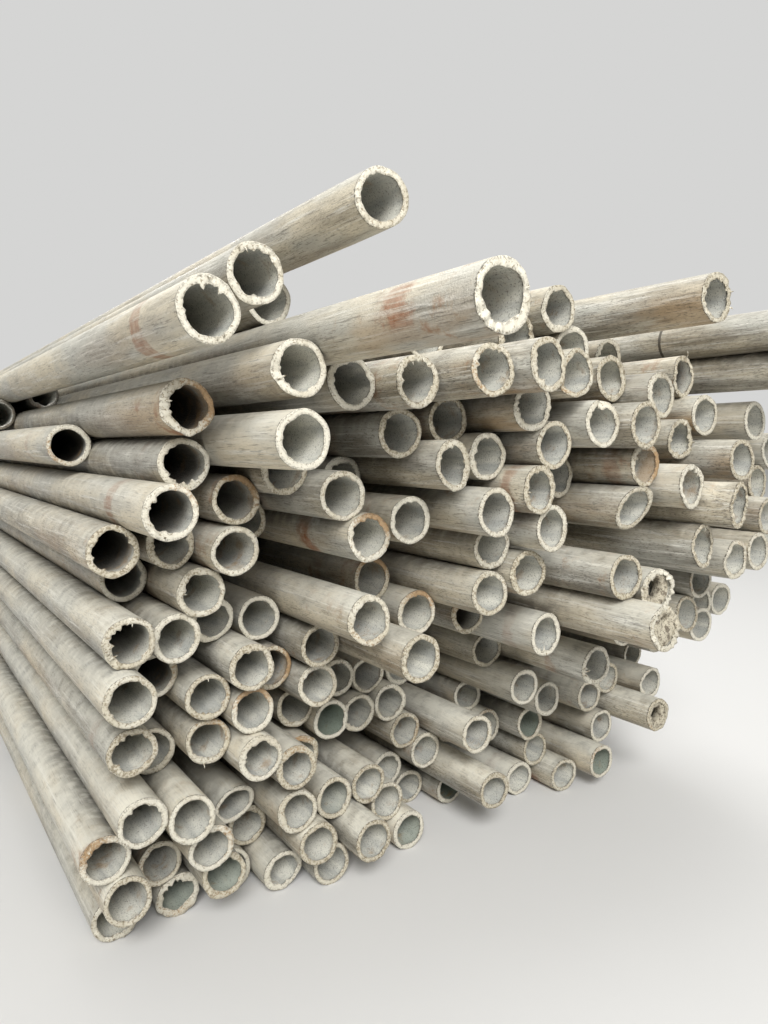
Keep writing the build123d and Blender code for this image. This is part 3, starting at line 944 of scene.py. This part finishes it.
def floor_material():
    """Plain dull floor."""
    material, nodes = new_material("pale_floor")
    nodes.surface({"Base Color": FLOOR_COLOR, "Specular IOR Level": 0.1, "Roughness": 0.9})
    return material


def add_floor():
    """Pale floor, far larger than the stack."""
    points = FLOOR_REACH * np.array([(-1, -1, 0), (1, -1, 0), (1, 1, 0), (-1, 1, 0)])
    mesh_object("floor", points, np.array([[0, 1, 2, 3]]), {}, floor_material())


def add_lights(camera_at):
    """Even pale sky, a large soft lamp before and above the near ends, a smaller one near the
    camera that reaches into the bores, a third above the stack, and one behind the far ends."""
    world = bpy.data.worlds.new("pale studio")
    world.use_nodes = True
    nodes = Nodes(world.node_tree)
    seen = nodes.add("ShaderNodeLightPath").outputs
    shown = nodes.math("ADD", seen["Is Camera Ray"], seen["Is Glossy Ray"], clamp=True)
    sky = nodes.add("ShaderNodeBackground", {
        "Color": SKY_COLOR,
        "Strength": nodes.math("ADD", SKY_STRENGTH, nodes.times(shown, SKY_SHOWN))})
    nodes.add("ShaderNodeOutputWorld", {"Surface": sky.outputs[0]})
    bpy.context.scene.world = world
    x, y, z = camera_at
    for name, place, aim, size, power, fan in (
            ("front lamp", (x - 4.2, y - 7.5, z + 6.8), (0, y + 0.9, 0.35), 4.5, 400, 95),
            ("bore lamp", (x + 0.1, y - 0.5, z + 0.45), (0, y + 0.9, 0.35), 0.5, 2.6, 100),
            ("top lamp", (0.5, y + 1.4, 3.4), (0, y + 1.6, 0.4), 2.4, 50, 180),
            ("back lamp", (2.9, y + 12.8, 4.9), (0, y + 6.6, 0.35), 3.8, 210, 120)):
        data = bpy.data.lights.new(name, "AREA")
        data.size, data.energy, data.spread = size, power, math.radians(fan)
        lamp = bpy.data.objects.new(name, data)
        lamp.location = place
        way = np.subtract(aim, place)
        drop = math.atan2(math.hypot(way[0], way[1]), -way[2])
        lamp.rotation_euler = (drop, 0, -math.atan2(way[0], way[1]))
        bpy.context.scene.collection.objects.link(lamp)


def add_camera(camera_at):
    """Camera close before the near ends and left of them, turned right and a little down."""
    data = bpy.data.cameras.new("camera")
    data.sensor_fit, data.sensor_height = "VERTICAL", SENSOR_HEIGHT
    data.lens, data.clip_start = CAMERA_LENS, CAMERA_CLIP
    camera = bpy.data.objects.new("camera", data)
    camera.location = camera_at
    camera.rotation_euler = (math.radians(90 + CAMERA_PITCH), 0, math.radians(-CAMERA_YAW))
    bpy.context.scene.collection.objects.link(camera)
    bpy.context.scene.camera = camera


def main():
    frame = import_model()
    cad_box = [list(map(float, corner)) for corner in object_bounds()]
    bpy.context.scene.view_settings.view_transform = "Standard"
    left, foremost = cad_box[0][:2]
    camera_at = (left - CAMERA_LEFT, foremost - CAMERA_BEFORE, CAMERA_HEIGHT)
    add_camera(camera_at)
    add_lights(camera_at)
    add_floor()
    groups = {"streaks": streaks_group(), "patches": patches_group(), "dust": dust_group()}
    steel, rng = tube_material(groups), np.random.default_rng(CHANCE_SEED)
    tubes_by_layer = {int(node.split("_")[1]): read_tubes(thing)
                      for node, thing in sorted(frame["nodes"].items())}
    every = np.concatenate(list(tubes_by_layer.values()))
    for node in sorted(frame["nodes"]):
        layer = int(node.split("_")[1])
        surface = dress_layer(layer, tubes_by_layer[layer], every, foremost, cad_box[1][2], rng)
        piece = mesh_object(node + "_tubes", *surface, steel)
        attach(piece, BODY)
        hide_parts(node)
    slivers = mesh_object("torn_slivers", *sliver_surface(tubes_by_layer, rng), {},
                          burr_material())
    chokes = join([choke_surface(tubes_by_layer[layer][number - 1], hole, across, up, rng)
                   for layer, number, hole, across, up in CHOKED])
    dirt = mesh_object("dirt_in_ends", *chokes, dirt_material(groups))
    for piece in (slivers, dirt):
        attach(piece, BODY)


main()
